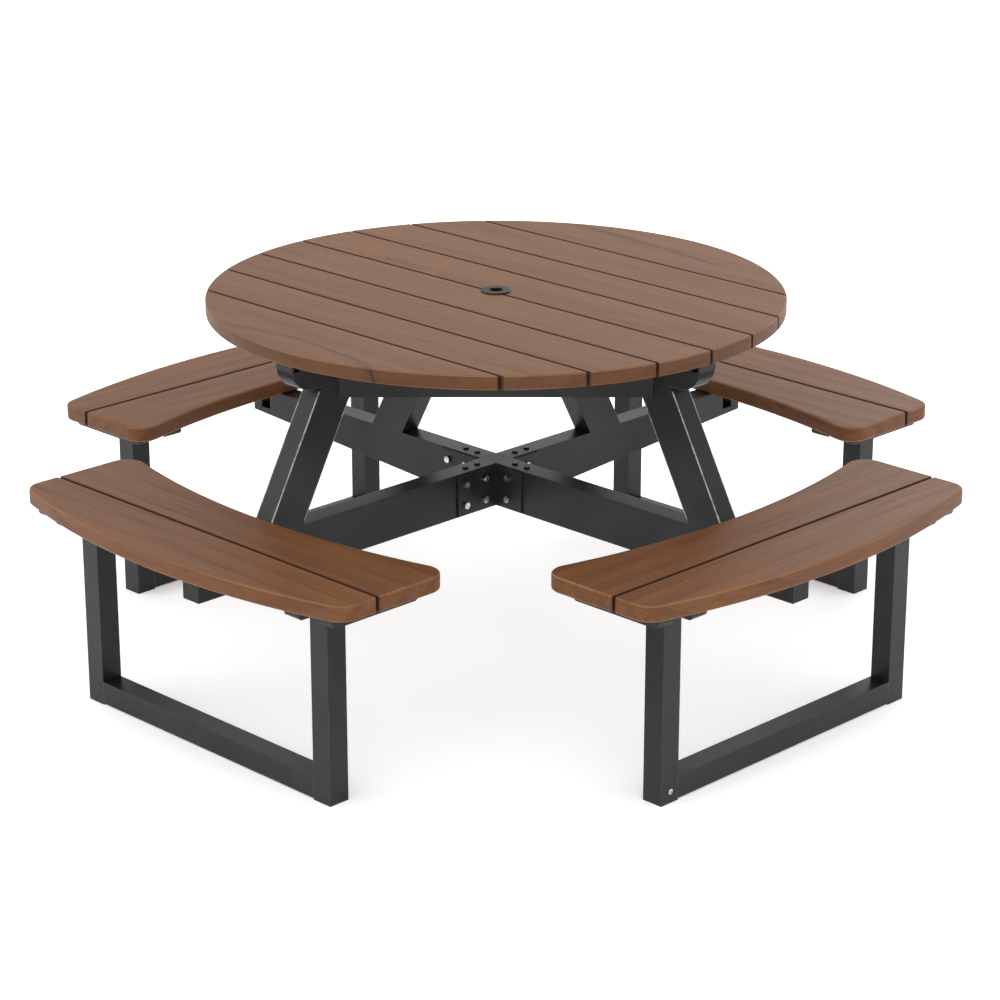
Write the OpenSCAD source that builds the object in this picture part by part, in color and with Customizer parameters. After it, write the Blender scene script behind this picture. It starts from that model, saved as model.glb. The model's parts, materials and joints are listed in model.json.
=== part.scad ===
// Round picnic table: a slatted round top on a braced cross frame, with four
// separate curved benches on U-shaped leg frames.
// Millimetres, +Z up. The origin is on the ground under the middle of the top.
// The top boards run along X. The four arms run along -Y (front left), +X (front
// right), +Y (back right) and -X (back left), and each one carries a bench.

/* [Top] */
// Height of the top surface above the ground
top_height = 750; // [700:5:800]
// Radius of the round top
top_radius = 576; // [540:1:640]
// Thickness of the top boards
top_board_t = 28; // [20:1:38]
// Distance from one board to the next
board_pitch = 131; // [110:1:140]
// How far the middle gap lies in front of the middle of the top
board_shift = 8; // [0:1:20]
// Gap between two top boards
board_gap = 5; // [2:0.5:8]

/* [Umbrella hole] */
// Diameter of the hole the umbrella pole goes through
umbrella_bore_d = 27; // [24:0.5:40]
// Diameter of the grommet flange on the top
grommet_flange_d = 60; // [54:1:70]
// Height of the grommet flange above the top
grommet_flange_h = 3; // [2:0.5:5]
// Wall of the grommet sleeve
grommet_wall = 3; // [2:0.5:4]
// Length of the grommet below the top surface
grommet_depth = 50; // [32:1:55]

/* [Frame] */
// Width of every frame tube
tube_w = 45; // [40:1:60]
// Height of the arm tubes
arm_h = 90; // [70:1:110]
// Height of the upper side of the arms, which the seats lie on
arm_top = 400; // [360:1:440]
// Distance from the middle of the table to the end of a front arm
arm_reach = 801; // [780:1:840]
// Distance from the middle of the table to the end of a back arm
back_arm_reach = 726; // [715:1:801]
// How far the underside of a back arm rises towards its end
back_arm_rise = 37; // [0:1:40]
// Distance along a back arm of the side opening for its seat bolt
slot_w = 28; // [20:1:30]
// Height of the side opening
slot_h = 32; // [20:1:34]
// Wall of the arm tubes
arm_wall = 3; // [2:0.5:5]
// Wall of the other tubes
tube_wall = 2.5; // [2:0.5:4]
// Height of the two crossed rails under the top
top_rail_h = 60; // [50:1:70]
// Distance from the middle of the table to the end of a crossed rail
top_rail_reach = 560; // [500:1:570]
// Radius of the rounded lower end of a crossed rail
top_rail_nose_r = 50; // [10:1:55]
// Height of the four diagonal ring rails
ring_rail_h = 90; // [60:1:100]
// Distance from the middle of the table to the outer face of a ring rail
ring_reach = 329.5; // [300:0.5:350]

/* [Struts] */
// Depth of the strut tubes
strut_d = 80; // [60:1:100]
// Distance from the middle to the foot of a front strut
front_strut_foot = 586; // [540:1:600]
// Distance from the middle to the foot of a back strut
back_strut_foot = 300; // [280:1:360]
// How far a strut leans inwards from its foot to its head
strut_lean = 143; // [100:1:160]

/* [Hub] */
// Distance from the middle to the first row of cross bolts
bolt_near = 60; // [55:1:65]
// Distance from the middle to the second row of cross bolts
bolt_far = 112; // [100:1:116]
// Height of the bolt rows above and below the middle of the arm
bolt_rise = 22; // [15:1:25]
// Distance from the middle to the first top screw of an arm
hub_screw_near = 54; // [50:1:60]
// Distance from the middle to the second top screw of an arm
hub_screw_far = 87; // [80:1:95]
// Distance from the middle to the end of a corner bracket's long leg
bracket_reach = 132; // [126:1:150]
// Distance from the middle to the end of a corner bracket's short leg
bracket_short = 97; // [85:1:100]
// Thickness of the corner brackets
bracket_t = 4; // [3:0.5:6]

/* [Seats] */
// Length of a bench seat
seat_length = 920; // [860:1:960]
// Thickness of the seat planks
seat_t = 32; // [24:1:40]
// Distance from the table's middle to the inner edge of a seat, at its middle
seat_inner = 632; // [626:1:640]
// Distance from the table's middle to the outer edge of a seat, at its middle
seat_outer = 900; // [880:1:930]
// Radius of the curved long edges of a seat
seat_curve_r = 1600; // [1400:10:2200]
// Radius of the four corners of a seat
seat_corner_r = 40; // [20:1:50]
// Distance from the table's middle to the gap between the two planks
seat_split = 752; // [748:1:760]
// Gap between the two planks of a seat
seat_gap = 6; // [3:0.5:8]

/* [Bench legs] */
// Distance from the middle of the bench to the middle of a post
post_x = 332; // [300:1:340]
// Distance from the table's middle to the middle of a post
post_out = 757.5; // [750:0.5:765]
// Thickness of the foot pads
pad_t = 3; // [2:0.5:6]
// Depth of the plug of a foot pad inside its post
pad_plug = 10; // [6:1:12]
// Height of the post rivet above the foot of its post
rivet_rise = 21; // [18:1:26]
// Width of the fingers of a seat bracket
finger_w = 40; // [30:1:44]
// Thickness of the seat brackets
finger_t = 20; // [12:1:24]
// Distance between the two fingers of a seat bracket
finger_pitch = 73; // [66:1:76]
// Distance from the table's middle to the inner end of a finger
finger_inner = 622; // [616:1:640]
// Distance from the table's middle to the outer end of the finger on the post
finger_outer = 842; // [820:1:846]
// Distance from the table's middle to the outer end of the other finger
finger_outer_short = 828; // [810:1:832]
// Radius of the lower corners of the fingers
finger_nose_r = 8; // [3:1:10]

/* [Fasteners] */
// Diameter of the cross bolts
bolt_d = 8; // [6:1:10]
// Width across the flats of the bolt heads and nuts
bolt_flats = 13; // [10:1:15]
// Height of the bolt heads
bolt_head_h = 5.5; // [4:0.5:7]
// Height of the nuts
nut_h = 6.5; // [5:0.5:8]
// How far a bolt stands out of its nut
bolt_tail = 3; // [1:0.5:5]
// Diameter of the wood screws
screw_d = 5; // [4:0.5:6]
// Diameter of the heads of the wood screws
screw_head_d = 9; // [8:0.5:11]
// Height of the heads of the wood screws
screw_head_h = 2.5; // [2:0.5:4]
// How far the wood screws go into the wood
screw_bite = 19; // [12:1:20]
// Diameter of the holes that let a screw driver into a rail
access_d = 14; // [12:1:18]
// Diameter of the heads of the hub screws
hub_screw_head_d = 12; // [11:1:16]
// Height of the heads of the hub screws
hub_screw_head_h = 3; // [2:0.5:4]
// Distance from the middle to the seat bolt under a front arm
seat_bolt_out = 716; // [700:1:725]
// Distance from the middle to the seat bolt inside a back arm
back_bolt_out = 687; // [680:1:694]
// Diameter of the washer head of a seat bolt
seat_bolt_head_d = 30; // [20:1:34]
// Height of the washer head of a seat bolt
seat_bolt_head_h = 6; // [4:0.5:8]
// Diameter of the post rivet
rivet_d = 6; // [5:0.5:8]
// Diameter of the heads of the post rivet
rivet_head_d = 11; // [9:0.5:14]
// Height of the heads of the post rivet
rivet_head_h = 2.5; // [1.5:0.5:4]

/* [Clearances] */
// Free space all round a bolt or screw in its hole
hole_clear = 0.25; // [0.1:0.05:0.5]
// Free space beyond the tip of a screw in the wood
tip_clear = 1; // [0.5:0.5:3]
// Free space round a plug or tongue inside a tube
plug_clear = 0.5; // [0.2:0.1:1]
// Free space round the grommet sleeve
sleeve_clear = 0.5; // [0.3:0.1:1]

/* [Hidden] */
$fn = 96;
// A cut runs this far past a face
over = 1;
// Turns from the front left side to each side, seen from above
FRONT_LEFT = 0;
FRONT_RIGHT = 1;
BACK_RIGHT = 2;
BACK_LEFT = 3;
SIDES = [FRONT_LEFT, FRONT_RIGHT, BACK_RIGHT, BACK_LEFT];
half_w = tube_w / 2;
// Facets of the large rounds
large_fn = 360;
// Boards, numbered from front to back
board_count = 8;
top_under = top_height - top_board_t;
grommet_od = umbrella_bore_d + 2 * grommet_wall;
sleeve_hole_d = grommet_od + 2 * sleeve_clear;
pole_hole_d = umbrella_bore_d + 3;
flange_chamfer = grommet_flange_h / 2;
// Frame
arm_under = arm_top - arm_h;
arm_mid = arm_top - arm_h / 2;
cap_t = 3;
cap_plug = 12;
// The underside of a back arm starts to rise past the corner brackets
taper_from = bracket_reach + 3;
slot_top = arm_top - 10;
top_rail_under = top_under - top_rail_h;
notch_w = 14;
notch_h = 18;
notch_wall = 6;
ring_mid = ring_reach - half_w;
ring_half = ring_mid + tube_w;
// Where the middle line of a ring rail meets the X and Y axes
ring_axis = ring_mid * sqrt(2);
strut_rise = top_rail_under - arm_top;
strut_angle = atan(strut_lean / strut_rise);
// Hub
tongue_wall = 6;
tongue_w = tube_w - 2 * arm_wall - 2 * plug_clear;
tongue_h = arm_h - 2 * arm_wall - 2 * plug_clear;
tongue_reach = bracket_reach - 2;
bracket_h = arm_h - 4;
bracket_face = half_w + bracket_t;
hub_screw_len = arm_wall + plug_clear + tongue_wall;
BOLT_ROWS = [-bolt_rise, bolt_rise];
// A far bolt goes through a long leg, the arm's wall and the tongue's wall
far_bolt_len = bracket_t + arm_wall + plug_clear + tongue_wall + bolt_tail;
// The one post that has a rivet: its side, and which end of the bench it is at
rivet_side = FRONT_RIGHT;
rivet_end = -1;
// Seats
seat_half = seat_length / 2;
inner_curve_out = seat_inner - seat_curve_r;
outer_curve_out = seat_outer - seat_curve_r;
seat_screw_inner = 690;
seat_screw_outer = 802;
post_top = arm_top - finger_t;
// The corner rounds of a seat stand this far over its edges, to cross them cleanly
round_bite = 0.1;
post_foot = pad_t;
// Screws
screw_hole_d = screw_d + 2 * hole_clear;
bolt_hole_d = bolt_d + 2 * hole_clear;
rivet_hole_d = rivet_d + 2 * hole_clear;
head_seat = top_under - tube_wall;
board_screw_step = 35;
// Nearest that a board screw comes to the middle
sleeve_keep_out = (sleeve_hole_d + screw_head_d) / 2 + hole_clear;

// Gap positions across the top, from front to back: the edge boards are the widest
function gap_y(i) = (i - board_count / 2) * board_pitch - board_shift;
function board_low(i) = i == 1 ? -top_radius : gap_y(i - 1) + board_gap / 2;
function board_high(i) = i == board_count ? top_radius : gap_y(i) - board_gap / 2;
function board_mid(i) = (board_low(i) + board_high(i)) / 2;
// Where a board's middle line crosses the ring rails on either side
function ring_x(i) = ring_axis - abs(board_mid(i));
// Screws along the long rail stay clear of the grommet's sleeve, however wide it is
function past_sleeve(y) = sign(y) * max(abs(y), sleeve_keep_out);
function rail_screws(i) = [for (s = [-1, 1])
    [0, past_sleeve(board_mid(i) + s * board_screw_step)]];
function ring_screws(i) = ring_x(i) > tube_w
    ? [for (s = [-1, 1]) [s * ring_x(i), board_mid(i)]]
    : [];
function board_screw_spots(i) = concat(rail_screws(i), ring_screws(i));

// Turns a part drawn on the front left side, where outwards is -Y, to another side
module on_side(side) {
    rotate([0, 0, 90 * side]) children();
}

// A rectangular tube along Z, centred, open at both ends
module tube(w, d, h, wall) {
    difference() {
        translate([-w / 2, -d / 2, 0]) cube([w, d, h]);
        translate([-w / 2 + wall, -d / 2 + wall, -over])
            cube([w - 2 * wall, d - 2 * wall, h + 2 * over]);
    }
}

// Side view of a bar from low to high, h deep, with both lower corners rounded
module nose_profile(low, high, h, r) {
    intersection() {
        union() {
            translate([low, r]) square([high - low, h]);
            translate([low + r, 0]) square([high - low - 2 * r, h]);
            translate([low + r, r]) circle(r = r);
            translate([high - r, r]) circle(r = r);
        }
        translate([low, 0]) square([high - low, h]);
    }
}

// A bar of width w along Y with that side view, its lower side at z = 0
module nose_bar(low, high, w, h, r) {
    translate([-w / 2, 0, 0])
        rotate([90, 0, 90])
            linear_extrude(height = w) nose_profile(low, high, h, r);
}

// A vertical round cut or pin
module upright(x, y, z_low, z_high, d) {
    translate([x, y, z_low]) cylinder(d = d, h = z_high - z_low);
}

// ---- Top ----

module top_board(i) {
    color("#8a6d5a") difference() {
        translate([0, 0, top_under]) intersection() {
            cylinder(r = top_radius, h = top_board_t, $fn = large_fn);
            translate([-top_radius, board_low(i), 0])
                cube([2 * top_radius, board_high(i) - board_low(i), top_board_t]);
        }
        upright(0, 0, top_under - over, top_height + over, sleeve_hole_d);
        for (p = board_screw_spots(i))
            upright(p[0], p[1], top_under - over, top_under + screw_bite + tip_clear,
                screw_hole_d);
    }
}

module umbrella_grommet() {
    color("#3a3a3a") difference() {
        union() {
            upright(0, 0, top_height - grommet_depth, top_height + over, grommet_od);
            upright(0, 0, top_height, top_height + flange_chamfer, grommet_flange_d);
            translate([0, 0, top_height + flange_chamfer])
                cylinder(d1 = grommet_flange_d, d2 = grommet_flange_d - grommet_flange_h,
                    h = grommet_flange_h - flange_chamfer);
        }
        upright(0, 0, top_height - grommet_depth - over, top_height + grommet_flange_h + over,
            umbrella_bore_d);
    }
}

// ---- Rails under the top ----

// Holes for the board screws, and the openings below them for the driver
module board_screw_cuts() {
    for (i = [1 : board_count])
        for (p = board_screw_spots(i)) {
            upright(p[0], p[1], top_under - tube_wall - over, top_under + over, screw_hole_d);
            upright(p[0], p[1], top_rail_under - ring_rail_h, head_seat - over, access_d);
        }
}

// A full-length crossed rail along Y, closed, with a notch behind each end wall
module crossed_rail() {
    difference() {
        translate([0, 0, top_rail_under]) difference() {
            nose_bar(-top_rail_reach, top_rail_reach, tube_w, top_rail_h, top_rail_nose_r);
            translate([0, 0, tube_wall])
                nose_bar(-top_rail_reach + tube_wall, top_rail_reach - tube_wall,
                    tube_w - 2 * tube_wall, top_rail_h - 2 * tube_wall,
                    top_rail_nose_r - tube_wall);
        }
        for (s = [-1, 1])
            translate([-half_w - over,
                s * (top_rail_reach - notch_wall - notch_w / 2) - notch_w / 2,
                top_under - notch_h])
                cube([tube_w + 2 * over, notch_w, notch_h + over]);
    }
}

module top_rail_long() {
    color("#303030") difference() {
        crossed_rail();
        board_screw_cuts();
        upright(0, 0, top_under - tube_wall - over, top_under + over, sleeve_hole_d);
        upright(0, 0, top_rail_under - over, top_rail_under + tube_wall + over, pole_hole_d);
    }
}

// The half of a crossed rail that runs outwards along X from the long rail
module top_rail_half(dir) {
    color("#303030") intersection() {
        rotate([0, 0, 90]) crossed_rail();
        translate([dir > 0 ? half_w : -top_rail_reach - over, -tube_w, top_rail_under - over])
            cube([top_rail_reach + over - half_w, 2 * tube_w, top_rail_h + 2 * over]);
    }
}

// A diagonal rail across one quadrant, cut off square against the crossed rails
module ring_rail(side) {
    color("#2c2c2c") difference() {
        on_side(side) intersection() {
            rotate([0, 0, 45])
                translate([0, -ring_mid, top_under - ring_rail_h / 2])
                    rotate([0, 90, 0])
                        translate([0, 0, -ring_half])
                            tube(ring_rail_h, tube_w, 2 * ring_half, tube_wall);
            translate([half_w, -top_radius, top_under - ring_rail_h])
                cube([top_radius, top_radius - half_w, ring_rail_h]);
        }
        board_screw_cuts();
    }
}

// ---- Struts ----

module strut(side, foot) {
    color("#343434") on_side(side) intersection() {
        translate([0, -foot, arm_top])
            rotate([-strut_angle, 0, 0])
                translate([0, 0, -strut_rise])
                    tube(tube_w, strut_d, 3 * strut_rise, tube_wall);
        translate([-half_w, -top_radius - strut_d, arm_top])
            cube([tube_w, top_radius + strut_d, strut_rise]);
    }
}

// ---- Arms and hub ----

// A round bar or hole across an arm, out along it and z up, from x = low to x = high
module across(out, z, low, high, d) {
    translate([low, -out, z]) rotate([0, 90, 0]) cylinder(d = d, h = high - low);
}

// A hexagon head or nut against an arm, from x = low
module hexagon(out, z, low, h) {
    translate([low, -out, z]) rotate([0, 90, 0])
        cylinder(r = bolt_flats / 2 / cos(30), h = h, $fn = 6);
}

// Cross holes for the bolts of one arm: the near ones go right through it, from the
// short leg of one bracket to the long leg of the other, and the far ones end inside
module cross_bolt_cuts() {
    outside = bracket_face + over;
    for (rise = BOLT_ROWS) {
        across(bolt_near, arm_mid + rise, -outside, outside, bolt_hole_d);
        across(bolt_far, arm_mid + rise, bracket_face - far_bolt_len - over, outside,
            bolt_hole_d);
    }
}

module hub_screw_cuts(z_low) {
    for (out = [hub_screw_near, hub_screw_far])
        upright(0, -out, z_low, arm_top + over, bolt_hole_d);
}

function is_back(side) = side == BACK_RIGHT || side == BACK_LEFT;
function reach_of(side) = is_back(side) ? back_arm_reach : arm_reach;
function bolt_out(side) = is_back(side) ? back_bolt_out : seat_bolt_out;
// A seat bolt's head bears on the lower wall of a front arm and the upper of a back one
function bolt_seat(side) = is_back(side) ? arm_top - arm_wall : arm_under;
// Height of the underside of an arm at the distance out
function underside(side, out) = is_back(side)
    ? arm_under + back_arm_rise * (out - taper_from) / (back_arm_reach - taper_from)
    : arm_under;

// Side view of an arm, drawn inside its outline by the inset, out to the distance end
module arm_profile(side, inset, end) {
    polygon([
        [half_w, arm_under + inset], [taper_from, arm_under + inset],
        [end, underside(side, end) + inset], [end, arm_top - inset], [half_w, arm_top - inset]
    ]);
}

module arm_solid(side, inset, end) {
    translate([half_w - inset, 0, 0]) rotate([90, 0, -90])
        linear_extrude(height = tube_w - 2 * inset) arm_profile(side, inset, end);
}

module arm(side) {
    end = reach_of(side) - cap_t;
    color("#303030") on_side(side) difference() {
        arm_solid(side, 0, end);
        arm_solid(side, arm_wall, end + over);
        // The open inner end, against the hub
        translate([-half_w + arm_wall, -half_w - over, arm_under + arm_wall])
            cube([tube_w - 2 * arm_wall, 2 * over, arm_h - 2 * arm_wall]);
        cross_bolt_cuts();
        hub_screw_cuts(arm_top - arm_wall - over);
        upright(0, -bolt_out(side), bolt_seat(side) - over, arm_top + over, bolt_hole_d);
        if (is_back(side))
            translate([-half_w - over, -back_bolt_out - slot_w / 2, slot_top - slot_h])
                cube([tube_w + 2 * over, slot_w, slot_h]);
    }
}

module arm_end_caps() {
    cap_inset = arm_wall + plug_clear;
    color("#262626") for (side = SIDES) on_side(side) {
        end = reach_of(side);
        low = underside(side, end);
        translate([-half_w, -end, low]) cube([tube_w, cap_t, arm_top - low]);
        translate([-half_w + cap_inset, -end + cap_t - over, low + cap_inset])
            cube([tube_w - 2 * cap_inset, cap_plug + over, arm_top - low - 2 * cap_inset]);
    }
}

// A hollow tongue that the arm slides over
module hub_tongue() {
    difference() {
        translate([-tongue_w / 2, -tongue_reach, arm_mid - tongue_h / 2])
            cube([tongue_w, tongue_reach - half_w + over, tongue_h]);
        translate([-tongue_w / 2 + tongue_wall, -tongue_reach - over,
            arm_mid - tongue_h / 2 + tongue_wall])
            cube([tongue_w - 2 * tongue_wall, tongue_reach - half_w - tongue_wall + over,
                tongue_h - 2 * tongue_wall]);
        cross_bolt_cuts();
        hub_screw_cuts(arm_top - hub_screw_len - over);
    }
}

module hub() {
    color("#383838") {
        translate([-half_w, -half_w, arm_under]) cube([tube_w, tube_w, arm_h]);
        for (side = SIDES) on_side(side) hub_tongue();
    }
}

// One angle plate in each inner corner of the cross, its short leg on the next arm
module corner_brackets() {
    leg = bracket_reach - half_w;
    short_leg = bracket_short - half_w;
    color("#3a3a3a") for (side = SIDES) on_side(side) difference() {
        translate([half_w, -half_w, arm_mid - bracket_h / 2]) {
            translate([0, -leg, 0]) cube([bracket_t, leg, bracket_h]);
            translate([0, -bracket_t, 0]) cube([short_leg, bracket_t, bracket_h]);
        }
        cross_bolt_cuts();
        on_side(FRONT_RIGHT) cross_bolt_cuts();
    }
}

module cross_bolts() {
    color("#b8b8b8") for (side = SIDES) on_side(side) for (rise = BOLT_ROWS) {
        z = arm_mid + rise;
        across(bolt_near, z, -bracket_face - over, bracket_face + nut_h + bolt_tail, bolt_d);
        hexagon(bolt_near, z, -bracket_face - bolt_head_h, bolt_head_h);
        across(bolt_far, z, bracket_face - far_bolt_len, bracket_face + over, bolt_d);
        hexagon(bolt_far, z, bracket_face, bolt_head_h);
    }
}

module cross_nuts() {
    color("#c4c4c4") for (side = SIDES) on_side(side) for (rise = BOLT_ROWS) difference() {
        hexagon(bolt_near, arm_mid + rise, bracket_face, nut_h);
        across(bolt_near, arm_mid + rise, bracket_face - over, bracket_face + nut_h + over,
            bolt_hole_d);
    }
}

module hub_screws() {
    color("#202020") for (side = SIDES) on_side(side)
        for (out = [hub_screw_near, hub_screw_far]) {
            upright(0, -out, arm_top - hub_screw_len, arm_top + over, bolt_d);
            upright(0, -out, arm_top, arm_top + hub_screw_head_h, hub_screw_head_d);
        }
}

// ---- Seats, drawn with outwards as +Y and then mirrored ----

// Removes a corner of a seat, keeping what is inside the round at [x, y].
// from_x is where the round meets the curved edge, dir is the way the edge lies.
module round_corner(x, y, from_x, dir) {
    for (s = [-1, 1]) scale([s, 1]) difference() {
        translate([from_x, dir > 0 ? y : y - 2 * seat_corner_r])
            square([seat_half - from_x + over, 2 * seat_corner_r]);
        translate([x, y]) circle(r = seat_corner_r);
    }
}

module inner_plank_outline() {
    reach = seat_curve_r + seat_corner_r;
    x = seat_half - seat_corner_r + round_bite;
    y = inner_curve_out + sqrt(reach * reach - x * x) - round_bite;
    difference() {
        translate([-seat_half, inner_curve_out])
            square([seat_length, seat_split - seat_gap / 2 - inner_curve_out]);
        translate([0, inner_curve_out]) circle(r = seat_curve_r, $fn = large_fn);
        round_corner(x, y, x * seat_curve_r / reach, -1);
    }
}

module outer_plank_outline() {
    reach = seat_curve_r - seat_corner_r;
    x = seat_half - seat_corner_r + round_bite;
    y = outer_curve_out + sqrt(reach * reach - x * x) + round_bite;
    difference() {
        intersection() {
            translate([-seat_half, seat_split + seat_gap / 2])
                square([seat_length, seat_outer - seat_split]);
            translate([0, outer_curve_out]) circle(r = seat_curve_r, $fn = large_fn);
        }
        round_corner(x, y, x * seat_curve_r / reach, 1);
    }
}

// Screw places of one plank, mirrored with the seat
module seat_screw_spots(out) {
    for (s = [-1, 1]) for (x = [post_x, post_x + finger_pitch])
        translate([s * x, -out, 0]) children();
}

module seat_screw_cuts(out) {
    seat_screw_spots(out)
        upright(0, 0, post_top - over, arm_top + screw_bite + tip_clear, screw_hole_d);
}

module seat_inner_plank(side) {
    color("#7a5f4b") on_side(side) difference() {
        translate([0, 0, arm_top]) linear_extrude(height = seat_t)
            mirror([0, 1]) inner_plank_outline();
        seat_screw_cuts(seat_screw_inner);
        upright(0, -bolt_out(side), arm_top - over, arm_top + screw_bite + tip_clear,
            bolt_hole_d);
    }
}

module seat_outer_plank(side) {
    color("#7a5f4b") on_side(side) difference() {
        translate([0, 0, arm_top]) linear_extrude(height = seat_t)
            mirror([0, 1]) outer_plank_outline();
        seat_screw_cuts(seat_screw_outer);
    }
}

// ---- Bench legs ----

module seat_brackets() {
    color("#2a2a2a") for (side = SIDES) on_side(side) for (s = [-1, 1]) difference() {
        translate([0, 0, post_top]) {
            translate([s * post_x, 0, 0])
                nose_bar(-finger_outer, -finger_inner, finger_w, finger_t, finger_nose_r);
            translate([s * (post_x + finger_pitch), 0, 0])
                nose_bar(-finger_outer_short, -finger_inner, finger_w, finger_t,
                    finger_nose_r);
            translate([s * (post_x + finger_pitch / 2) - finger_pitch / 2,
                -post_out - half_w, 0])
                cube([finger_pitch, tube_w, finger_t]);
        }
        seat_screw_cuts(seat_screw_inner);
        seat_screw_cuts(seat_screw_outer);
    }
}

// The shank of the post rivet or its hole, through both walls
module rivet_pin(d) {
    translate([rivet_end * post_x, -post_out + half_w + over, post_foot + rivet_rise])
        rotate([90, 0, 0]) cylinder(d = d, h = tube_w + 2 * over);
}

module post(side, s) {
    color("#353535") on_side(side) difference() {
        translate([s * post_x, -post_out, post_foot])
            tube(tube_w, tube_w, post_top - post_foot, tube_wall);
        if (side == rivet_side && s == rivet_end) rivet_pin(rivet_hole_d);
    }
}

module floor_rail(side) {
    span = 2 * post_x - tube_w;
    color("#353535") on_side(side)
        translate([-span / 2, -post_out, post_foot + half_w])
            rotate([0, 90, 0]) tube(tube_w, tube_w, span, tube_wall);
}

module foot_pads() {
    plug = tube_w - 2 * (tube_wall + plug_clear);
    color("#202020") for (side = SIDES) on_side(side) for (s = [-1, 1])
        translate([s * post_x, -post_out, 0]) {
            translate([-half_w, -half_w, 0]) cube([tube_w, tube_w, pad_t]);
            translate([-plug / 2, -plug / 2, pad_t - over])
                cube([plug, plug, pad_plug + over]);
        }
}

// ---- Small fasteners ----

// A wood screw whose head bears against z from below
module wood_screw(x, y, z, grip) {
    upright(x, y, z - over, z + grip + screw_bite, screw_d);
    upright(x, y, z - screw_head_h, z, screw_head_d);
}

module board_screws() {
    color("#8c8c8c") for (i = [1 : board_count]) for (p = board_screw_spots(i))
        wood_screw(p[0], p[1], head_seat, tube_wall);
}

module seat_screws() {
    color("#202020") for (side = SIDES) on_side(side)
        for (out = [seat_screw_inner, seat_screw_outer])
            seat_screw_spots(out) wood_screw(0, 0, post_top, finger_t);
}

module seat_bolts() {
    color("#202020") for (side = SIDES) on_side(side) {
        upright(0, -bolt_out(side), bolt_seat(side) - over, arm_top + screw_bite, bolt_d);
        translate([0, -bolt_out(side), bolt_seat(side) - seat_bolt_head_h])
            cylinder(d1 = seat_bolt_head_d - seat_bolt_head_h, d2 = seat_bolt_head_d,
                h = seat_bolt_head_h);
    }
}

module post_rivet() {
    color("#6a6a6a") on_side(rivet_side) {
        rivet_pin(rivet_d);
        for (face = [half_w + rivet_head_h, -half_w])
            translate([rivet_end * post_x, -post_out + face, post_foot + rivet_rise])
                rotate([90, 0, 0]) cylinder(d = rivet_head_d, h = rivet_head_h);
    }
}

top_board(1);  // top_board_1
top_board(2);  // top_board_2
top_board(3);  // top_board_3
top_board(4);  // top_board_4
top_board(5);  // top_board_5
top_board(6);  // top_board_6
top_board(7);  // top_board_7
top_board(8);  // top_board_8
umbrella_grommet();
top_rail_long();
top_rail_half(-1);  // top_rail_left
top_rail_half(1);  // top_rail_right
ring_rail(FRONT_LEFT);  // ring_rail_front
ring_rail(FRONT_RIGHT);  // ring_rail_right
ring_rail(BACK_RIGHT);  // ring_rail_back
ring_rail(BACK_LEFT);  // ring_rail_left
strut(FRONT_LEFT, front_strut_foot);  // strut_front_left
strut(FRONT_RIGHT, front_strut_foot);  // strut_front_right
strut(BACK_RIGHT, back_strut_foot);  // strut_back_right
strut(BACK_LEFT, back_strut_foot);  // strut_back_left
arm(FRONT_LEFT);  // arm_front_left
arm(FRONT_RIGHT);  // arm_front_right
arm(BACK_RIGHT);  // arm_back_right
arm(BACK_LEFT);  // arm_back_left
arm_end_caps();
hub();
corner_brackets();
seat_inner_plank(FRONT_LEFT);  // seat_inner_front_left
seat_inner_plank(FRONT_RIGHT);  // seat_inner_front_right
seat_inner_plank(BACK_RIGHT);  // seat_inner_back_right
seat_inner_plank(BACK_LEFT);  // seat_inner_back_left
seat_outer_plank(FRONT_LEFT);  // seat_outer_front_left
seat_outer_plank(FRONT_RIGHT);  // seat_outer_front_right
seat_outer_plank(BACK_RIGHT);  // seat_outer_back_right
seat_outer_plank(BACK_LEFT);  // seat_outer_back_left
seat_brackets();
post(FRONT_LEFT, -1);  // post_front_left_1
post(FRONT_LEFT, 1);  // post_front_left_2
post(FRONT_RIGHT, -1);  // post_front_right_1
post(FRONT_RIGHT, 1);  // post_front_right_2
post(BACK_RIGHT, -1);  // post_back_right_1
post(BACK_RIGHT, 1);  // post_back_right_2
post(BACK_LEFT, -1);  // post_back_left_1
post(BACK_LEFT, 1);  // post_back_left_2
floor_rail(FRONT_LEFT);  // floor_rail_front_left
floor_rail(FRONT_RIGHT);  // floor_rail_front_right
floor_rail(BACK_RIGHT);  // floor_rail_back_right
floor_rail(BACK_LEFT);  // floor_rail_back_left
foot_pads();
cross_bolts();
cross_nuts();
hub_screws();
board_screws();
seat_screws();
seat_bolts();
post_rivet();
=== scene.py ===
import json
import math
import random

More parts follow.
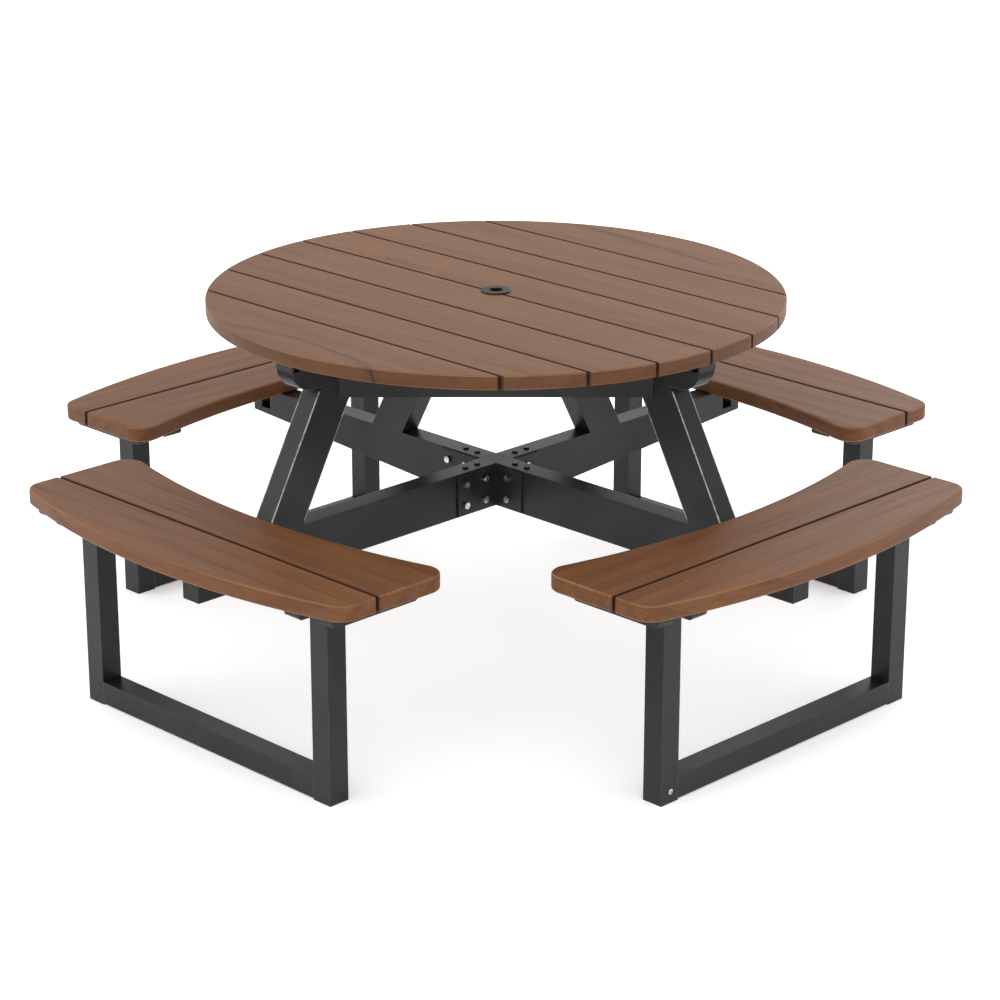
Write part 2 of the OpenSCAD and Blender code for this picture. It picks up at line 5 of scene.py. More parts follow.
import bmesh
import bpy
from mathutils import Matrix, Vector


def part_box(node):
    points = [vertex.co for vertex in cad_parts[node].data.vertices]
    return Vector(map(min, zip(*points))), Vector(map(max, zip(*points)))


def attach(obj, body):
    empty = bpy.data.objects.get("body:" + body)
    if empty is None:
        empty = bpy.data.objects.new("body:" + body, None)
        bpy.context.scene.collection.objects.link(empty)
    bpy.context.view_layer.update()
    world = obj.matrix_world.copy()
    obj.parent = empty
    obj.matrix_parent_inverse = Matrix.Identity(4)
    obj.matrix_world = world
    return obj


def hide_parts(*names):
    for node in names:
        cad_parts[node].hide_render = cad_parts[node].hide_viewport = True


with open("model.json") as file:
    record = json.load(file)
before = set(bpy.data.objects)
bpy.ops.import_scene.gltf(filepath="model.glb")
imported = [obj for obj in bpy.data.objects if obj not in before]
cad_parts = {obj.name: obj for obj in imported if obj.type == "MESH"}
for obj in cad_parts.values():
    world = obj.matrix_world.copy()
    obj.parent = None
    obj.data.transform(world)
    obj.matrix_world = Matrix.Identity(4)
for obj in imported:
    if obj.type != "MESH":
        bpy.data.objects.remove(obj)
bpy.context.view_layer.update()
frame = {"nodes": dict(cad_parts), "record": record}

# Round picnic table: the boards and planks are built here, and every tube, plate and
# fastener is the CAD piece, its mesh unchanged, with a surface of its own. The shader
# alone rounds the edges of the coated steel pieces.
# Metres, +Z up, the top boards along X, the origin on the ground under the middle.

SIDES = ("front_left", "front_right", "back_right", "back_left")
X, Y = 0, 1

# Sizes that the frame's boxes don't give: the long edges and corners of a seat, and the
# hole for the grommet's sleeve
SEAT_CURVE_R = 1.6
SEAT_CORNER_R = 0.04
SLEEVE_HOLE_R = 0.017

# How far the edges of boards and planks are eased, less on a joint
BOARD_EASE = 0.003
SEAT_EASE = 0.0045
JOINT_EASE = 0.0012
SEAT_JOINT_EASE = 0.0026
EASE_STEPS = 3
SHARP = math.radians(30)
FLAT_FACE_WEIGHT = 100

# Steps along the long curves and round the corners
ARC_STEP = math.radians(1.5)
SEAT_ARC_STEP = ARC_STEP / 2
CORNER_STEP = math.radians(10)

# Closer than this, two points are one, a point is on a line, and a board's edge is the
# rim of the top
WELD_GAP = 1e-6
LINE_GAP = 1e-5
RIM_GAP = 1e-4


# ---- Outlines ----

def arc(centre, radius, start, end, step):
    """Points on an arc from angle start to angle end, both included."""
    count = max(2, math.ceil(abs(end - start) / step))
    angles = [start + (end - start) * i / count for i in range(count + 1)]
    return [(centre[0] + radius * math.cos(a), centre[1] + radius * math.sin(a))
            for a in angles]


def sleeve_bite(edge, side):
    """The arc that the grommet's hole takes out of a board edge at y = edge.
    side is 1 where the board lies above that edge and -1 where it lies below."""
    if abs(edge) >= SLEEVE_HOLE_R:
        return []
    a = math.asin(edge / SLEEVE_HOLE_R)
    if side > 0:
        return arc((0, 0), SLEEVE_HOLE_R, math.pi - a, a, CORNER_STEP)
    return arc((0, 0), SLEEVE_HOLE_R, a, -math.pi - a, CORNER_STEP)


def board_outline(low, high, radius):
    """A board of the round top, between two lines along X."""
    a = math.asin(max(-1.0, low / radius))
    b = math.asin(min(1.0, high / radius))
    right = arc((0, 0), radius, a, b, ARC_STEP)
    left = arc((0, 0), radius, math.pi - b, math.pi - a, ARC_STEP)
    if low <= -radius:
        left = left[:-1]
    if high >= radius:
        left = left[1:]
    return right + sleeve_bite(high, -1) + left + sleeve_bite(low, 1)


def mirrored(points):
    """The same points on the other side of the Y axis, in the same turning order."""
    return [(-x, y) for x, y in reversed(points)]


def corner_place(half, middle, reach):
    """Centre of a seat's corner round, and the angle from Y where its long curve ends."""
    x = half - SEAT_CORNER_R
    y = middle + math.sqrt(reach * reach - x * x)
    return (x, y), math.atan2(x, y - middle)


def inner_plank_outline(half, inner, split):
    """Inner plank of a seat: concave towards the table, with outwards as +Y."""
    middle = inner - SEAT_CURVE_R
    corner, swing = corner_place(half, middle, SEAT_CURVE_R + SEAT_CORNER_R)
    curve = arc((0, middle), SEAT_CURVE_R, math.pi / 2 + swing, math.pi / 2 - swing,
                SEAT_ARC_STEP)
    right = arc(corner, SEAT_CORNER_R, -math.pi / 2 - swing, 0, CORNER_STEP)
    return mirrored(right)[:-1] + curve + right[1:] + [(half, split), (-half, split)]


def outer_plank_outline(half, outer, split):
    """Outer plank of a seat: convex away from the table, with outwards as +Y."""
    middle = outer - SEAT_CURVE_R
    corner, swing = corner_place(half, middle, SEAT_CURVE_R - SEAT_CORNER_R)
    curve = arc((0, middle), SEAT_CURVE_R, math.pi / 2 - swing, math.pi / 2 + swing,
                SEAT_ARC_STEP)
    right = arc(corner, SEAT_CORNER_R, 0, math.pi / 2 - swing, CORNER_STEP)
    return [(-half, split), (half, split)] + right + curve[1:-1] + mirrored(right)


def to_side(points, side):
    """Turns an outline with outwards as +Y to a side of the table, 0 to 3."""
    a = math.radians(90 * side)
    flipped = [(x, -y) for x, y in reversed(points)]
    return [(x * math.cos(a) - y * math.sin(a), x * math.sin(a) + y * math.cos(a))
            for x, y in flipped]


# ---- Solids ----

def slab(name, outline, low, high, ease, joint_ease, joints):
    """A board with that outline between two heights. Its edges are eased, and by less
    where they lie on a joint. joints are tests of whether a point is on a joint."""
    bm = bmesh.new()
    weight = bm.edges.layers.float.new("bevel_weight_edge")
    area = sum(a[0] * b[1] - b[0] * a[1]
               for a, b in zip(outline, outline[1:] + outline[:1]))
    ring = outline if area > 0 else outline[::-1]
    top = [bm.verts.new((x, y, high)) for x, y in ring]
    bottom = [bm.verts.new((x, y, low)) for x, y in ring]
    bm.faces.new(top)
    bm.faces.new(bottom[::-1])
    for i in range(len(ring)):
        j = (i + 1) % len(ring)
        bm.faces.new((top[i], bottom[i], bottom[j], top[j]))
    bmesh.ops.remove_doubles(bm, verts=bm.verts, dist=WELD_GAP)
    bm.normal_update()
    for e in bm.edges:
        if len(e.link_faces) == 2 and e.calc_face_angle() > SHARP:
            on_joint = any(joint(v.co) for joint in joints for v in e.verts)
            whole = any(all(joint(v.co) for v in e.verts) for joint in joints)
            upright = abs(e.verts[0].co.z - e.verts[1].co.z) > WELD_GAP
            lighter = whole or (upright and on_joint)
            e[weight] = joint_ease / ease if lighter else 1.0
    for f in bm.faces:
        f.smooth = True
    mesh = bpy.data.meshes.new(name)
    bm.to_mesh(mesh)
    bm.free()
    piece = bpy.data.objects.new(name, mesh)
    bpy.context.scene.collection.objects.link(piece)
    bevel = piece.modifiers.new("eased edges", "BEVEL")
    bevel.limit_method = "WEIGHT"
    bevel.width = ease
    bevel.segments = EASE_STEPS
    normals = piece.modifiers.new("flat faces stay flat", "WEIGHTED_NORMAL")
    normals.weight = FLAT_FACE_WEIGHT
    return piece


def on_line(axis, value):
    """A test of whether a point lies on the line where that axis has that value."""
    return lambda co: abs(co[axis] - value) < LINE_GAP


# ---- Shader helpers ----

# Sockets that share their names with others, by number: those of a Mix node for colours
# and those of a Map Range node
MIX_FACTOR, MIX_A, MIX_B, MIX_RESULT = 0, 6, 7, 2
FROM_LOW, FROM_HIGH, TO_LOW, TO_HIGH = 1, 2, 3, 4
# The outputs of a Noise node
NOISE_VALUE, NOISE_COLOUR = 0, 1


class Graph:
    """A material's node tree, with short calls for the nodes used here."""

    def __init__(self, name):
        self.material = bpy.data.materials.new(name)
        self.material.use_nodes = True
        self.tree = self.material.node_tree
        self.tree.nodes.clear()

    def add(self, kind, settings=None, **inputs):
        node = self.tree.nodes.new(kind)
        for key, value in (settings or {}).items():
            setattr(node, key, value)
        for key, value in inputs.items():
            self.put(node.inputs[key.replace("_", " ")], value)
        return node

    def put(self, socket, value):
        if isinstance(value, bpy.types.NodeSocket):
            self.tree.links.new(value, socket)
        else:
            socket.default_value = value

    def position(self):
        """The place on the object, in its own metres."""
        return self.add("ShaderNodeTexCoord").outputs["Object"]

    def split(self, vector):
        """The X, Y and Z of a vector."""
        node = self.add("ShaderNodeSeparateXYZ")
        self.put(node.inputs[0], vector)
        return node.outputs

    def maths(self, operation, a, b=0.0):
        node = self.add("ShaderNodeMath", {"operation": operation})
        self.put(node.inputs[0], a)
        self.put(node.inputs[1], b)
        return node.outputs[0]

    def times(self, a, b):
        return self.maths("MULTIPLY", a, b)

    def minus(self, a, b):
        return self.maths("SUBTRACT", a, b)

    def plus(self, a, b):
        return self.maths("ADD", a, b)

    def size(self, value):
        return self.maths("ABSOLUTE", value)

    def mix(self, factor, a, b):
        node = self.add("ShaderNodeMix", {"data_type": "RGBA", "blend_type": "MIX"})
        self.put(node.inputs[MIX_FACTOR], factor)
        self.put(node.inputs[MIX_A], a)
        self.put(node.inputs[MIX_B], b)
        return node.outputs[MIX_RESULT]

    def ramp(self, value, low, high):
        """value from low to high, spread smoothly over 0 to 1."""
        node = self.add("ShaderNodeMapRange", {"interpolation_type": "SMOOTHSTEP"})
        self.put(node.inputs[0], value)
        node.inputs[FROM_LOW].default_value = low
        node.inputs[FROM_HIGH].default_value = high
        return node.outputs[0]

    def spread(self, value, low, high):
        """A 0 to 1 value, spread over low to high."""
        node = self.add("ShaderNodeMapRange")
        self.put(node.inputs[0], value)
        node.inputs[TO_LOW].default_value = low
        node.inputs[TO_HIGH].default_value = high
        return node.outputs[0]

    def tint(self, tone, colour, value, low, high, strength):
        """tone turned towards colour, by up to strength as value goes low to high."""
        return self.mix(self.times(self.ramp(value, low, high), strength), tone, colour)

    def place(self, vector, scale, shift=(0, 0, 0), turn=(0, 0, 0)):
        node = self.add("ShaderNodeMapping")
        self.put(node.inputs[0], vector)
        node.inputs["Location"].default_value = shift
        node.inputs["Rotation"].default_value = turn
        node.inputs["Scale"].default_value = scale
        return node.outputs[0]

    def noise(self, vector, scale, detail=3.0, rough=0.5, distortion=0.0):
        node = self.add("ShaderNodeTexNoise", None, Vector=vector, Scale=scale,
                        Detail=detail, Roughness=rough, Distortion=distortion)
        return node.outputs[NOISE_VALUE]

    def grain(self, log, cells, detail, rough, distortion=0.0):
        """Noise in the wood, with that many cells to a metre along X, Y and Z."""
        return self.noise(self.place(log, cells), 1.0, detail, rough, distortion)

    def surface(self, colour, roughness, height, bump, depth, metallic=0.0, ior=1.5,
                normal=None, glow=0.0):
        """Ends the tree. bump and depth say how strongly height stands out."""
        bumped = self.add("ShaderNodeBump", None, Height=height, Strength=bump,
                          Distance=depth)
        if normal:
            self.put(bumped.inputs["Normal"], normal)
        shader = self.add("ShaderNodeBsdfPrincipled")
        self.put(shader.inputs["Base Color"], colour)
        self.put(shader.inputs["Roughness"], roughness)
        self.put(shader.inputs["Normal"], bumped.outputs[0])
        shader.inputs["Metallic"].default_value = metallic
        shader.inputs["IOR"].default_value = ior
        shader.inputs["Emission Color"].default_value = (1, 1, 1, 1)
        shader.inputs["Emission Strength"].default_value = glow
        out = self.add("ShaderNodeOutputMaterial")
        self.tree.links.new(shader.outputs[0], out.inputs[0])
        return self.material


def rgb(r, g, b):
    """A screen colour, 0 to 255, as linear light with alpha."""
    def linear(c):
        c = c / 255
        return c / 12.92 if c <= 0.04045 else ((c + 0.055) / 1.055) ** 2.4
    return (linear(r), linear(g), linear(b), 1.0)


# ---- Wood ----

# Colours of the stained wood: its body, the late wood, the pale wood and the veins
TOP_TONES = (rgb(102, 65, 34), rgb(79, 45, 19), rgb(118, 78, 44), rgb(40, 18, 7))
SEAT_TONES = (rgb(100, 61, 30), rgb(68, 34, 12), rgb(120, 78, 42), rgb(38, 17, 6))
# Paler eased edges: a painted highlight, with some wear
EDGE_WEAR_AND_HIGHLIGHT = rgb(168, 118, 76)
# Painted shade in the gaps between boards
JOINT_SHADE = rgb(60, 31, 13)
WOOD_IOR = 1.34

# How much painted shade darkens the upright faces below the flat ones
TOP_SIDE_SHADE = 0.30
SEAT_SIDE_SHADE = 0.06

# Where each board is cut from its log: the greatest shift, the greatest tilts about Y and
# Z, the pith's greatest offset across and its least and greatest depth
LOG_SHIFT = 9
LOG_TILT_Y = 0.02
LOG_TILT_Z = 0.045
PITH_ACROSS = 0.05
PITH_DEPTH = (0.06, 0.16)
RING_STRETCH = (0.55, 1, 1)
RING_SCALE = 7.5
RING_WOBBLE = (0, 0.05, 0.05)

# Cells to a metre along and across the grain
WOBBLE_CELLS = (1.3, 5, 5)
SWAY_CELLS = (1.6, 6, 6)
STREAK_CELLS = (3.5, 110, 110)
FIBRE_CELLS = (22, 900, 900)
PATCH_CELLS = (1.5, 11, 11)
PORE_CELLS = (40, 1300, 1300)
WANDER_CELLS = (9, 0.5, 0.5)

# Painted shade in a joint's gap starts this far from the joint and is full at the second
# distance
JOINT_SHADE_REACH = 0.0030
JOINT_SHADE_FULL = 0.0008

# A vein's half width at its faint rim and at its dark core, the half width of the shade
# round it, how far it wanders, and how dark the two are
VEIN_RIM = 0.0030
VEIN_CORE = 0.0006
HALO_RIM = 0.018
VEIN_WANDER = 0.03
VEIN_SHADE = 0.92
HALO_SHADE = 0.26

# (x, y, bend, slope, fade) of the veins on the first and the last board of the top:
# where each passes, how it bends and slopes, and how far along X it is gone
FIRST_VEIN = (0.03, -0.503, -0.75, -0.05, 0.30)
LAST_VEIN = (-0.02, 0.488, -0.25, -0.10, 0.26)


def wood(name, tones, along_y, dice, side_shade, joints, vein=None):
    """Stained wood with its grain along X or Y. dice draws the log it is cut from.
    side_shade darkens the upright faces with painted shade. joints are the
    distances across the grain of the board's edges on a joint, where painted shade darkens
    the gap.
    vein is a dark wandering line in the board."""
    g = Graph(name)
    body, late, pale, dark = tones
    where = g.position()
    if along_y:
        where = g.place(where, (1, 1, 1), turn=(0, 0, math.radians(-90)))
    shift = tuple(dice.uniform(-LOG_SHIFT, LOG_SHIFT) for _ in range(3))
    log = g.place(where, (1, 1, 1), shift)
    tilt = (0, dice.uniform(-LOG_TILT_Y, LOG_TILT_Y), dice.uniform(-LOG_TILT_Z, LOG_TILT_Z))
    pith = (0, dice.uniform(-PITH_ACROSS, PITH_ACROSS), dice.uniform(*PITH_DEPTH))
    board = g.place(where, RING_STRETCH, pith, tilt)
    # Growth rings, wobbling slowly along the board
    sway = g.grain(log, SWAY_CELLS, 3, 0.55)
    wobble = g.add("ShaderNodeTexNoise", None, Vector=g.place(log, WOBBLE_CELLS), Scale=1.0,
                   Detail=3.0).outputs[NOISE_COLOUR]
    rings_at = g.add("ShaderNodeVectorMath", {"operation": "MULTIPLY_ADD"})
    g.put(rings_at.inputs[0], wobble)
    rings_at.inputs[1].default_value = RING_WOBBLE
    g.put(rings_at.inputs[2], board)
    ring_shape = {"wave_type": "RINGS", "rings_direction": "X", "wave_profile": "SAW"}
    rings = g.add("ShaderNodeTexWave", ring_shape, Vector=rings_at.outputs[0],
                  Scale=RING_SCALE, Distortion=1.2, Detail=3.0, Detail_Scale=2.0).outputs[1]
    # Streaks, fibres and broad patches of stain
    streak = g.grain(log, STREAK_CELLS, 6, 0.62)
    fibre = g.grain(log, FIBRE_CELLS, 3, 0.6)
    patch = g.grain(log, PATCH_CELLS, 4, 0.55, 0.5)
    pores = g.grain(log, PORE_CELLS, 2, 0.5)
    tone = g.mix(g.ramp(rings, 0.25, 1.0), body, late)
    tone = g.mix(0.62, tone, body)
    for colour, value, low, high, strength in (
            (pale, patch, 0.42, 0.75, 0.40), (late, streak, 0.50, 0.72, 0.55),
            (pale, streak, 0.46, 0.28, 0.30), (dark, pores, 0.62, 0.72, 0.45),
            (pale, fibre, 0.35, 0.7, 0.12)):
        tone = g.tint(tone, colour, value, low, high, strength)
    if vein:
        tone = g.mix(vein_mask(g, where, log, vein), tone, dark)
    # tip is 1 on the flat faces and 0 on the upright ones, and the eased edges lie between
    tip = g.size(g.split(g.add("ShaderNodeNewGeometry").outputs["Normal"])[2])
    eased = g.times(g.ramp(tip, 0.97, 0.80), g.ramp(tip, 0.10, 0.35))
    # Painted shade: the upright faces are darker than the flat ones by side_shade
    tone = g.tint(tone, dark, tip, 0.4, 0.1, side_shade)
    # The eased edges turn paler: a painted highlight, with some wear
    worn = g.times(eased, g.spread(g.ramp(sway, 0.3, 0.7), 0.05, 0.34))
    tone = g.mix(worn, tone, EDGE_WEAR_AND_HIGHLIGHT)
    across = g.split(where)[1]
    # Painted shade in the gaps at the joints, reaching a little onto the faces beside them
    for joint in joints:
        off = g.size(g.minus(across, joint))
        tone = g.tint(tone, JOINT_SHADE, off, JOINT_SHADE_REACH, JOINT_SHADE_FULL, 0.9)
    rough = g.spread(g.plus(g.times(streak, 0.6), g.times(patch, 0.4)), 0.40, 0.66)
    late_dip = g.times(g.ramp(rings, 0.6, 1.0), 0.15)
    relief = g.plus(g.times(streak, 0.6), g.minus(g.times(fibre, 0.4), late_dip))
    return g.surface(tone, rough, relief, 0.35, 0.0007, ior=WOOD_IOR)


def vein_mask(g, where, log, vein):
    """A thin dark line that bends along the board and runs down its edge at a slant."""
    x0, y0, bend, slope, fade = vein
    x, y, z = g.split(where)
    drop = g.minus(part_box("top_board_1")[1].z, z)
    along = g.minus(g.minus(x, drop), x0)
    curve = g.plus(g.times(g.times(along, along), bend), g.times(along, slope))
    wander = g.times(g.minus(g.grain(log, WANDER_CELLS, 3, 0.5), 0.5), VEIN_WANDER)
    off = g.size(g.minus(y, g.plus(g.plus(curve, y0), wander)))
    line = g.times(g.ramp(off, VEIN_RIM, VEIN_CORE), VEIN_SHADE)
    halo = g.times(g.ramp(off, HALO_RIM, 0.0), HALO_SHADE)
    shown = g.ramp(g.size(along), fade, fade * 0.6)
    return g.times(g.maths("MAXIMUM", line, halo), shown)


# ---- Metal and plastic ----

STEEL_COAT_IOR = 1.34
PLASTIC_IOR = 1.35
COAT_ROUGHNESS = 0.34
BRACKET_ROUGHNESS = 0.38
PLASTIC_ROUGHNESS = 0.46
ZINC_ROUGHNESS = 0.26

STEEL = rgb(23, 23, 24)
STEEL_RUBBED = rgb(50, 50, 51)
# Edge colours: a painted highlight along the rounded edges, on the tubes, brackets and
# fasteners with some wear
TUBE_EDGE_WEAR_AND_HIGHLIGHT = rgb(74, 74, 75)
# Near white painted highlight on the front struts' edges
STRUT_EDGE_HIGHLIGHT = rgb(252, 252, 250)
BRACKET = rgb(24, 24, 25)
BRACKET_EDGE_WEAR_AND_HIGHLIGHT = rgb(60, 60, 60)
FASTENER = rgb(14, 14, 14)
FASTENER_RUBBED = rgb(34, 34, 34)
FASTENER_EDGE_WEAR_AND_HIGHLIGHT = rgb(40, 40, 40)
PLASTIC = rgb(12, 12, 12)
PLASTIC_PALE = rgb(30, 30, 30)
ZINC = rgb(215, 215, 212)
ZINC_DULL = rgb(120, 120, 116)

# Radius of the edges that the shader rounds
TUBE_EDGE_R = 0.0028
STRUT_EDGE_R = 0.0042
BRACKET_EDGE_R = 0.001
FASTENER_EDGE_R = 0.0006
EDGE_SAMPLES = 6

# The bright edges fade out over this height at each end of a strut
END_FADE = 0.006


def coated_steel(name, colour, worn, roughness, edge_radius, edge, ends=None):
    """Satin powder coat: a fine orange peel, soft blotches and edges turned to the colour
    edge, a painted highlight with some wear.
    ends are two heights outside which the edges get no painted highlight."""
    g = Graph(name)
    where = g.position()
    peel = g.noise(where, 900, 2, 0.5)
    blotch = g.noise(where, 7, 4, 0.55)
    dust = g.noise(where, 60, 5, 0.65)
    round_normal = g.add("ShaderNodeBevel", {"samples": EDGE_SAMPLES},
                         Radius=edge_radius).outputs[0]
    flat_normal = g.add("ShaderNodeNewGeometry").outputs["Normal"]
    facing = g.add("ShaderNodeVectorMath", {"operation": "DOT_PRODUCT"})
    g.put(facing.inputs[0], round_normal)
    g.put(facing.inputs[1], flat_normal)
    turned = g.ramp(g.minus(1.0, facing.outputs["Value"]), 0.01, 0.10)
    tone = g.tint(colour, worn, blotch, 0.35, 0.7, 0.35)
    tone = g.tint(tone, worn, dust, 0.55, 0.75, 0.18)
    # Painted highlight along the rounded edges, with some wear
    edge_wear_and_highlight = g.times(turned, g.spread(g.ramp(dust, 0.4, 0.6), 0.45, 0.9))
    if ends:
        height = g.split(where)[2]
        edge_wear_and_highlight = g.times(edge_wear_and_highlight, g.ramp(height, ends[0], ends[0] + END_FADE))
        edge_wear_and_highlight = g.times(edge_wear_and_highlight, g.ramp(height, ends[1], ends[1] - END_FADE))
    tone = g.mix(edge_wear_and_highlight, tone, edge)
    rough = g.spread(blotch, roughness - 0.07, roughness + 0.09)
    return g.surface(tone, rough, peel, 0.12, 0.0002, ior=STEEL_COAT_IOR,
                     normal=round_normal)


def bare_steel(name, colour, dulled, roughness):
    """Zinc-plated steel with fine grain and dull patches."""
    g = Graph(name)
    where = g.position()
    dull = g.noise(where, 240, 4, 0.6)
    fine = g.noise(where, 2200, 2, 0.5)
    tone = g.mix(g.ramp(dull, 0.35, 0.75), colour, dulled)
    rough = g.spread(dull, roughness - 0.08, roughness + 0.16)
    return g.surface(tone, rough, fine, 0.2, 0.0001, metallic=1.0)


def moulded_plastic(name, colour, pale, roughness):
    """Spark-textured moulded plastic."""
    g = Graph(name)
    where = g.position()
    sparks = g.noise(where, 1400, 2, 0.5)
    cloud = g.noise(where, 35, 4, 0.6)
    tone = g.tint(colour, pale, cloud, 0.4, 0.75, 0.5)
    rough = g.spread(sparks, roughness - 0.05, roughness + 0.12)
    return g.surface(tone, rough, sparks, 0.25, 0.0002, ior=PLASTIC_IOR)


# ---- Boards and planks ----

# Each set of boards draws its logs from a seed of its own
TOP_SEED = 11
SEAT_SEED = 5


def carry(piece, material, node):
    """Finishes a piece that stands for a CAD node."""
    piece.data.materials.append(material)
    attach(piece, "root")
    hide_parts(node)


def build_top():
    boards = sorted((n for n in frame["nodes"] if n.startswith("top_board_")),
                    key=lambda n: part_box(n)[0].y)
    radius = max(abs(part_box(boards[0])[0].y), abs(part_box(boards[-1])[1].y))
    veins = {boards[0]: FIRST_VEIN, boards[-1]: LAST_VEIN}
    dice = random.Random(TOP_SEED)
    for name in boards:
        low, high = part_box(name)
        outline = board_outline(low.y, high.y, radius)
        joints = [y for y in (low.y, high.y) if abs(y) < radius - RIM_GAP]
        piece = slab("wood_" + name, outline, low.z, high.z, BOARD_EASE, JOINT_EASE,
                     [on_line(Y, y) for y in joints])
        material = wood("wood_" + name, TOP_TONES, False, dice, TOP_SIDE_SHADE, joints,
                        veins.get(name))
        carry(piece, material, name)


def build_seats():
    dice = random.Random(SEAT_SEED)
    for side, where in enumerate(SIDES):
        inner, outer = "seat_inner_" + where, "seat_outer_" + where
        along, across = (Y, X) if side % 2 else (X, Y)
        low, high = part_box(inner)
        half = high[along]
        nearest, inner_split = sorted((abs(low[across]), abs(high[across])))
        outer_split, furthest = sorted(abs(c[across]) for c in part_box(outer))
        middle = seat_inner_middle(nearest, half)
        # The sign of the side's own direction, and that of the wood's turned Y axis
        outwards = 1 if low[across] > 0 else -1
        grain_side = -1 if side < 2 else 1
        for name, outline, split in (
                (inner, inner_plank_outline(half, middle, inner_split), inner_split),
                (outer, outer_plank_outline(half, furthest, outer_split), outer_split)):
            piece = slab("wood_" + name, to_side(outline, side), low.z, high.z, SEAT_EASE,
                         SEAT_JOINT_EASE, [on_line(across, outwards * split)])
            material = wood("wood_" + name, SEAT_TONES, along == Y, dice, SEAT_SIDE_SHADE,
                            [grain_side * split])
            carry(piece, material, name)


def seat_inner_middle(nearest, half):
    """Distance to a seat's inner edge at its middle, from the nearest point of its ends."""
    reach = SEAT_CURVE_R + SEAT_CORNER_R
    x = half - SEAT_CORNER_R
    return nearest + SEAT_CORNER_R + SEAT_CURVE_R - math.sqrt(reach * reach - x * x)


# ---- CAD pieces ----

def finish_cad_pieces():
    """Gives every CAD piece that shows its own surface, by its slot in the record. The
    front struts get a bright painted highlight along their edges."""
    finishes = {
        "frame_steel": coated_steel("frame_coat", STEEL, STEEL_RUBBED, COAT_ROUGHNESS,
                                    TUBE_EDGE_R, TUBE_EDGE_WEAR_AND_HIGHLIGHT),
        "bracket_steel": coated_steel("bracket_coat", BRACKET, STEEL_RUBBED,
                                      BRACKET_ROUGHNESS, BRACKET_EDGE_R, BRACKET_EDGE_WEAR_AND_HIGHLIGHT),
        "black_plastic": moulded_plastic("black_plastic", PLASTIC, PLASTIC_PALE,
                                         PLASTIC_ROUGHNESS),
        "black_steel": coated_steel("black_fastener", FASTENER, FASTENER_RUBBED,
                                    COAT_ROUGHNESS, FASTENER_EDGE_R, FASTENER_EDGE_WEAR_AND_HIGHLIGHT),
        "plain_steel": bare_steel("zinc", ZINC, ZINC_DULL, ZINC_ROUGHNESS),
    }
    low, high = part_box("strut_front_left")
    # The front struts' coat has a bright painted highlight along its edges
    strut = coated_steel("strut_coat_highlight", STEEL, STEEL_RUBBED, COAT_ROUGHNESS, STRUT_EDGE_R,
                         STRUT_EDGE_HIGHLIGHT, (low.z + END_FADE, high.z - END_FADE))
    for part in frame["record"]["subparts"]:
        obj = frame["nodes"][part["node"]]
        if part["material_slot"] not in finishes:
            continue
        bright_edged = part["node"].startswith("strut_front")
        if not obj.material_slots:
            raise ValueError("no material slot on " + obj.name)
        for slot in obj.material_slots:
            slot.material = strut if bright_edged else finishes[part["material_slot"]]


# ---- Studio ----

VIEW_AZIMUTH = math.radians(45)
VIEW_ELEVATION = math.radians(19.405)
VIEW_DISTANCE = 6.1197
TARGET_HEIGHT = 0.3096
CAMERA_SLIDE = 0.0078
LENS_MM = 108.2
SENSOR_MM = 36

# Strength of the sky at the horizon and overhead
SKY_LOW = 0.85
SKY_HIGH = 1.65

FLOOR_REACH = 30
FLOOR_TONES = ((0.93, 0.93, 0.93, 1), (0.95, 0.95, 0.95, 1))
FLOOR_ROUGHNESS = 0.9
FLOOR_GLOW = 0.29

# Name, place, aim and power of each light, in watts
LIGHT_SIZE = 3.0
LIGHTS = (("key", (-3.6, -4.2, 2.6), (0, 0, 0.3), 30),
          ("fill", (4.6, -3.4, 1.6), (0, 0, 0.2), 14),
          ("back", (-1.5, 5.5, 2.4), (0, 0, 0.2), 50))


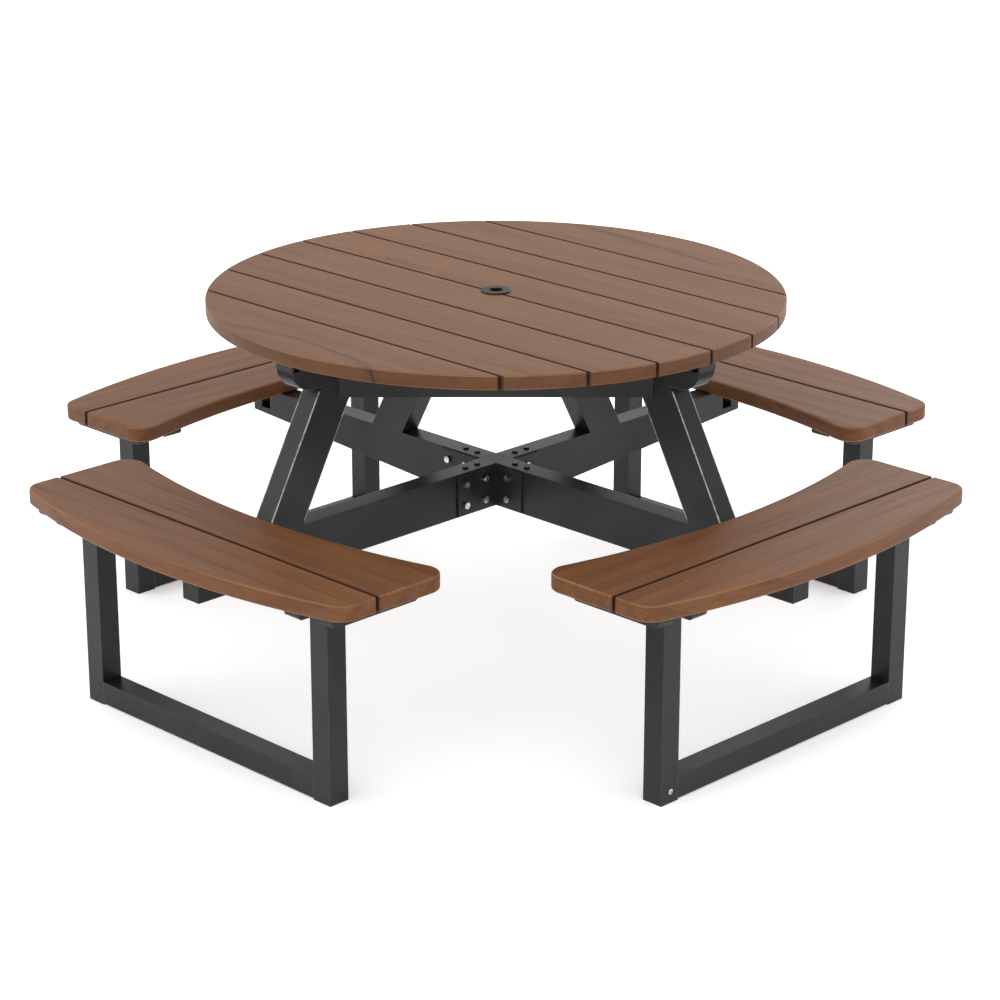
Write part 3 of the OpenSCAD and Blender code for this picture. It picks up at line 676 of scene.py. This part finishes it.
def build_camera():
    data = bpy.data.cameras.new("camera")
    data.lens = LENS_MM
    data.sensor_width = SENSOR_MM
    camera = bpy.data.objects.new("camera", data)
    bpy.context.scene.collection.objects.link(camera)
    a, e = VIEW_AZIMUTH, VIEW_ELEVATION
    back = Vector((math.sin(a) * math.cos(e), -math.cos(a) * math.cos(e), math.sin(e)))
    right = Vector((math.cos(a), math.sin(a), 0))
    target = Vector((0, 0, TARGET_HEIGHT)) + right * CAMERA_SLIDE
    camera.location = target + back * VIEW_DISTANCE
    camera.rotation_euler = (-back).to_track_quat("-Z", "Y").to_euler()
    bpy.context.scene.camera = camera


def area_light(name, place, aim, power):
    data = bpy.data.lights.new(name, "AREA")
    data.shape = "DISK"
    data.size = LIGHT_SIZE
    data.energy = power
    light = bpy.data.objects.new(name, data)
    light.location = place
    aimed = Vector(aim) - Vector(place)
    light.rotation_euler = aimed.to_track_quat("-Z", "Y").to_euler()
    bpy.context.scene.collection.objects.link(light)


def build_floor():
    g = Graph("pale_floor")
    where = g.position()
    tone = g.mix(g.ramp(g.noise(where, 3), 0.4, 0.6), *FLOOR_TONES)
    g.surface(tone, FLOOR_ROUGHNESS, g.noise(where, 300), 0.05, 0.0002, ior=1.0,
              glow=FLOOR_GLOW)
    mesh = bpy.data.meshes.new("floor")
    far = FLOOR_REACH
    mesh.from_pydata([(-far, -far, 0), (far, -far, 0), (far, far, 0), (-far, far, 0)], [],
                     [(0, 1, 2, 3)])
    mesh.materials.append(g.material)
    floor = bpy.data.objects.new("floor", mesh)
    bpy.context.scene.collection.objects.link(floor)


def build_sky():
    world = bpy.data.worlds.new("studio")
    world.use_nodes = True
    tree = world.node_tree
    sky = tree.nodes["Background"]
    sky.inputs["Color"].default_value = (1, 1, 1, 1)
    axes = tree.nodes.new("ShaderNodeSeparateXYZ")
    direction = tree.nodes.new("ShaderNodeTexCoord").outputs["Generated"]
    tree.links.new(direction, axes.inputs[0])
    rise = tree.nodes.new("ShaderNodeMapRange")
    rise.inputs[TO_LOW].default_value = SKY_LOW
    rise.inputs[TO_HIGH].default_value = SKY_HIGH
    tree.links.new(axes.outputs[2], rise.inputs[0])
    tree.links.new(rise.outputs[0], sky.inputs["Strength"])
    bpy.context.scene.world = world


def build_studio():
    build_floor()
    build_sky()
    for light in LIGHTS:
        area_light(*light)
    view = bpy.context.scene.view_settings
    view.view_transform = "Standard"
    view.look = "None"
    view.exposure = 0.0
    view.gamma = 1.0


build_camera()
build_studio()
build_top()
build_seats()
finish_cad_pieces()
